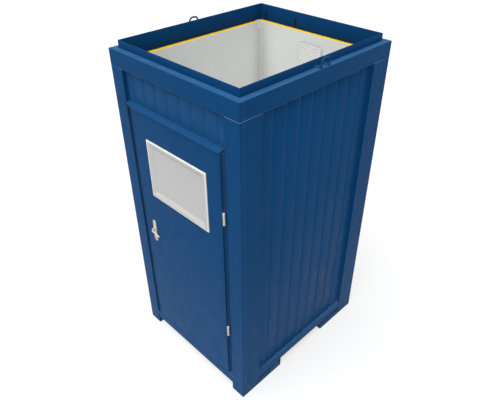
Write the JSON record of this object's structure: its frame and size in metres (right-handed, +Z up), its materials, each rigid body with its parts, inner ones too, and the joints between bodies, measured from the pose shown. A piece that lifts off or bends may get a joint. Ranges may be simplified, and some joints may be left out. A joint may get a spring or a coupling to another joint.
{
  "type": "portable toilet cabin",
  "caption": "Steel-framed portable toilet cabin with an outward-opening door, a window, an open roof frame, lifting eyes and skid feet, and a WC and washbasin inside.",
  "frame": {"origin": "on the ground, under the middle of the whole piece with its outer door lever", "axes": "+Z up, the door faces -Y, +X to the right when facing the back wall from the door"},
  "size_m": [1.2, 1.4551, 2.554],
  "materials": {
    "gentian_blue_paint": "semi-gloss enamel",
    "white_lining_board": "smooth laminate on board",
    "yellow_insulation": "mineral wool",
    "plywood": "floor-grade plywood",
    "grey_vinyl": "homogeneous vinyl",
    "white_pvc": "window profile PVC",
    "obscure_glass": "milky obscure glass",
    "cream_enamel": "cream enamel",
    "satin_steel": "satin",
    "bright_chrome": "polished",
    "nickel_brass": "nickel-plated brass",
    "white_china": "glazed vitreous china",
    "white_seat": "moulded seat plastic",
    "silver_button": "metallised plastic",
    "silvered_mirror": "float-glass mirror",
    "black_rubber": "EPDM",
    "tissue_paper": "tissue",
    "grey_pipe": "soil pipe plastic"
  },
  "bodies": {
    "cabin": {"posts_front": "gentian_blue_paint", "posts_back": "gentian_blue_paint", "sill_front": "gentian_blue_paint", "base_rail_back": "gentian_blue_paint", "base_rails_side": "gentian_blue_paint", "skid_feet": "gentian_blue_paint", "floor_joists": "gentian_blue_paint", "roof_rails_end": "gentian_blue_paint", "roof_rails_side": "gentian_blue_paint", "roof_upstand": "gentian_blue_paint", "lifting_eyes": "gentian_blue_paint", "skin_sides": "gentian_blue_paint", "skin_back": "gentian_blue_paint", "skin_front": "gentian_blue_paint", "door_frame": "gentian_blue_paint", "drip_ledge": "gentian_blue_paint", "floor_deck": "plywood", "floor_covering": "grey_vinyl", "wall_insulation": "yellow_insulation", "lining_sides": "white_lining_board", "lining_back": "white_lining_board", "lining_front": "white_lining_board", "strike_plate": "satin_steel", "hinge_frame_halves": "cream_enamel", "wc_pan": "white_china", "seat_hinge": "satin_steel", "cistern": "white_china", "cistern_lid": "white_china", "washbasin": "white_china", "tap_body": "bright_chrome", "basin_trap": "white_pvc", "wall_mirror": "silvered_mirror", "vent_grille": "white_pvc", "fan_duct": "white_pvc", "roll_holder": "satin_steel", "soil_pipe": "grey_pipe", "water_pipe": "satin_steel", "cable_conduit": "white_pvc", "cable_slot_seals": "black_rubber"},
    "door": {"door_skin_outer": "gentian_blue_paint", "door_skin_inner": "gentian_blue_paint", "door_core": "yellow_insulation", "door_seal": "black_rubber", "window_frame": "white_pvc", "window_pane": "obscure_glass", "hinge_door_halves": "cream_enamel", "lock_case": "satin_steel", "lock_cylinder": "nickel_brass", "backplates": "cream_enamel"},
    "lever": {"lever_handles": "cream_enamel", "spindle": "satin_steel"},
    "latch": {"latch_bolt": "satin_steel"},
    "turn": {"thumb_turn": "cream_enamel"},
    "bolt": {"dead_bolt": "satin_steel"},
    "seat": {"wc_seat": "white_seat"},
    "lid": {"wc_lid": "white_seat"},
    "flush": {"flush_button": "silver_button"},
    "tap": {"tap_lever": "bright_chrome"},
    "roll": {"toilet_roll": "tissue_paper"},
    "fan": {"fan_wheel": "white_seat"}
  },
  "joints": [
    {"name": "door_swing", "type": "hinge", "parent": "cabin", "child": "door", "pos_m": [0.464, -0.6825, 1.1], "axis": [0, 0, 1], "range_deg": [0, 170]},
    {"name": "lever_turn", "type": "hinge", "parent": "door", "child": "lever", "pos_m": [-0.32, -0.6525, 1.193], "axis": [0, 1, 0], "range_deg": [0, 40], "stiffness_Nm_per_rad": 1.5, "springref_deg": -34.38},
    {"name": "latch_slide", "type": "slide", "parent": "door", "child": "latch", "axis": [1, 0, 0], "range_m": [0, 0.012]},
    {"name": "lock_turn", "type": "hinge", "parent": "door", "child": "turn", "pos_m": [-0.32, -0.6205, 1.121], "axis": [0, 1, 0], "range_deg": [0, 90]},
    {"name": "bolt_slide", "type": "slide", "parent": "door", "child": "bolt", "axis": [-1, 0, 0], "range_m": [0, 0.022]},
    {"name": "seat_lift", "type": "hinge", "parent": "cabin", "child": "seat", "pos_m": [0, 0.4375, 0.585], "axis": [-1, 0, 0], "range_deg": [0, 88]},
    {"name": "lid_lift", "type": "hinge", "parent": "cabin", "child": "lid", "pos_m": [0, 0.4375, 0.585], "axis": [-1, 0, 0], "range_deg": [-96, 0]},
    {"name": "flush_press", "type": "slide", "parent": "cabin", "child": "flush", "axis": [0, 0, -1], "range_m": [0, 0.006], "stiffness_N_per_m": 300, "springref_m": -0.006},
    {"name": "tap_turn", "type": "hinge", "parent": "cabin", "child": "tap", "pos_m": [0.486, -0.3025, 1.099], "axis": [0, 0, 1], "range_deg": [0, 90]},
    {"name": "roll_spin", "type": "hinge", "parent": "cabin", "child": "roll", "pos_m": [-0.45, 0.1775, 0.864], "axis": [0, 1, 0], "continuous": true},
    {"name": "fan_spin", "type": "hinge", "parent": "cabin", "child": "fan", "pos_m": [0, 0.6575, 2.244], "axis": [0, 1, 0], "continuous": true}
  ],
  "couplings": [
    {"joint": "latch_slide", "follows": "lever_turn", "m_per_rad": 0.01718},
    {"joint": "lock_turn", "follows": "bolt_slide", "rad_per_m": 71.4}
  ]
}
